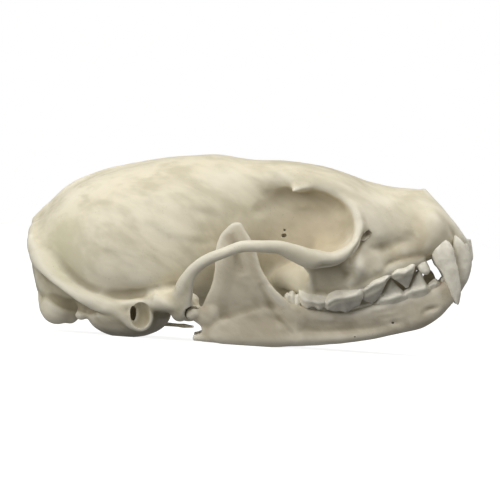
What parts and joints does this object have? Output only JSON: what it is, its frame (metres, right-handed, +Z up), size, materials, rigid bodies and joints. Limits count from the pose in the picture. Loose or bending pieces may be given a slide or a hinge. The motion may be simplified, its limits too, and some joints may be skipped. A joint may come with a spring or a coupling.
{
  "type": "marten skull",
  "caption": "Life-size marten skull with its lower jaw closed, long rounded braincase, thin cheekbone arches, open eye sockets and sharp canine teeth.",
  "frame": {"origin": "on the floor below the middle of the bounding box", "axes": "+X forward towards the teeth, +Y towards the animal's left, +Z up from the floor"},
  "size_m": [0.083, 0.048, 0.0347],
  "materials": {
    "cranium_bone": "dry cleaned bone, satin, ivory with faint olive mottling; ceramic stands in for real bone",
    "jaw_bone": "dry cleaned bone, satin, ivory; ceramic stands in for real bone",
    "tooth_enamel": "glossy ivory-white tooth enamel; glazed ceramic stands in for real enamel"
  },
  "bodies": {
    "root": {"braincase": "cranium_bone", "muzzle": "cranium_bone", "zygomatic_arch_left": "cranium_bone", "zygomatic_arch_right": "cranium_bone", "auditory_bulla_left": "cranium_bone", "auditory_bulla_right": "cranium_bone", "mandible_left": "jaw_bone", "mandible_right": "jaw_bone"}
  },
  "joints": []
}
